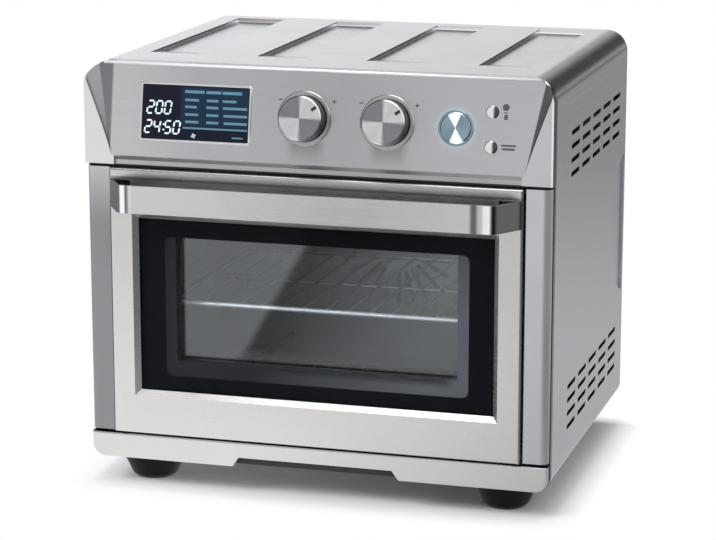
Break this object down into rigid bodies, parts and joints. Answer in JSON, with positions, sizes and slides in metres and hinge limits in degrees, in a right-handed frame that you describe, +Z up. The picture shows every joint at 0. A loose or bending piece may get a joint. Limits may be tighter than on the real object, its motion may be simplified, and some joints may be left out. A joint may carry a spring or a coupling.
{
  "type": "air fryer oven",
  "caption": "Countertop air fryer oven with a drop-down glass door, sloping control panel with display and dials, pull-out crumb drawer and tapered feet.",
  "frame": {"origin": "Centre of the oven's footprint, on the surface it stands on (the undersides of its feet).", "axes": "+X to the right seen from the front, +Y to the back, +Z up; the door and controls face -Y."},
  "size_m": [0.42, 0.368, 0.3827],
  "materials": {
    "brushed_front": "brushed stainless sheet",
    "painted_body": "satin silver paint",
    "zinc_sheet": "zinc-plated sheet",
    "cavity_steel": "aluminised sheet",
    "chrome_wire": "chromed wire",
    "spun_metal": "spun and anodised",
    "bare_steel": "turned steel",
    "dark_tray": "dark enamel",
    "heater_sheath": "oxidised sheath",
    "fan_sheet": "pressed aluminium",
    "white_ceramic": "unglazed ceramic",
    "clear_glass": "toughened glass",
    "display_glass": "gloss black window",
    "black_plastic": "moulded black",
    "motor_case": "laminated and painted",
    "circuit_board": "green laminate"
  },
  "bodies": {
    "base": {"outer_wrap": "painted_body", "base_plate": "zinc_sheet", "foot_front_left": "black_plastic", "foot_front_right": "black_plastic", "foot_rear_left": "black_plastic", "foot_rear_right": "black_plastic", "front_frame": "brushed_front", "cavity_liner": "cavity_steel", "rack_runners": "cavity_steel", "fan_grille": "cavity_steel", "fan_housing": "zinc_sheet", "motor_bracket": "zinc_sheet", "fan_motor": "motor_case", "upper_heater": "heater_sheath", "lower_heater": "heater_sheath", "heater_bushes": "white_ceramic", "lamp_socket": "white_ceramic", "oven_lamp": "clear_glass", "lamp_lens": "clear_glass", "temperature_probe": "bare_steel", "thermal_cutout": "black_plastic", "heat_shield": "zinc_sheet", "power_board": "circuit_board", "rear_panel": "zinc_sheet", "cable_gland": "black_plastic", "terminal_block": "black_plastic", "body_screws": "bare_steel", "control_fascia": "brushed_front", "display_bezel": "chrome_wire", "display_lens": "display_glass", "display_module": "black_plastic", "knob_rings": "spun_metal", "encoders": "black_plastic", "start_ring": "spun_metal", "control_board": "circuit_board", "hinge_brackets": "zinc_sheet", "tray_runners": "zinc_sheet"},
    "door": {"door_skin": "brushed_front", "outer_glass": "clear_glass", "glass_carrier": "black_plastic", "inner_glass": "clear_glass", "door_inner_frame": "zinc_sheet", "hinge_arm_left": "zinc_sheet", "hinge_arm_right": "zinc_sheet", "hinge_pins": "bare_steel", "handle": "brushed_front", "handle_screws": "bare_steel"},
    "drawer": {"drawer_front": "brushed_front", "crumb_tray": "dark_tray"},
    "rack": {"wire_rack": "chrome_wire"},
    "fan": {"convection_fan": "fan_sheet", "motor_shaft": "bare_steel"},
    "knob_left": {"left_knob": "spun_metal", "left_encoder_shaft": "bare_steel"},
    "knob_right": {"right_knob": "spun_metal", "right_encoder_shaft": "bare_steel"},
    "start": {"start_button": "spun_metal"},
    "upper": {"upper_button": "spun_metal"},
    "lower": {"lower_button": "spun_metal"}
  },
  "joints": [
    {"name": "door_hinge", "type": "hinge", "parent": "base", "child": "door", "pos_m": [0, -0.151, 0.054], "axis": [1, 0, 0], "range_deg": [0, 90]},
    {"name": "drawer_slide", "type": "slide", "parent": "base", "child": "drawer", "axis": [0, -1, 0], "range_m": [0, 0.19]},
    {"name": "rack_slide", "type": "slide", "parent": "base", "child": "rack", "axis": [0, -1, 0], "range_m": [0, 0.012]},
    {"name": "fan_spin", "type": "hinge", "parent": "base", "child": "fan", "pos_m": [0, 0, 0.172], "axis": [0, 1, 0], "continuous": true},
    {"name": "left_knob_turn", "type": "hinge", "parent": "base", "child": "knob_left", "pos_m": [-0.0097, -0.14411, 0.3403], "axis": [0, -0.9848, 0.1736], "continuous": true},
    {"name": "right_knob_turn", "type": "hinge", "parent": "base", "child": "knob_right", "pos_m": [0.0643, -0.14411, 0.3403], "axis": [0, -0.9848, 0.1736], "continuous": true},
    {"name": "start_press", "type": "slide", "parent": "base", "child": "start", "axis": [0, 0.9848, -0.1736], "range_m": [0, 0.001], "stiffness_N_per_m": 600},
    {"name": "upper_press", "type": "slide", "parent": "base", "child": "upper", "axis": [0, 0.9848, -0.1736], "range_m": [0, 0.0008], "stiffness_N_per_m": 500},
    {"name": "lower_press", "type": "slide", "parent": "base", "child": "lower", "axis": [0, 0.9848, -0.1736], "range_m": [0, 0.0008], "stiffness_N_per_m": 500}
  ]
}
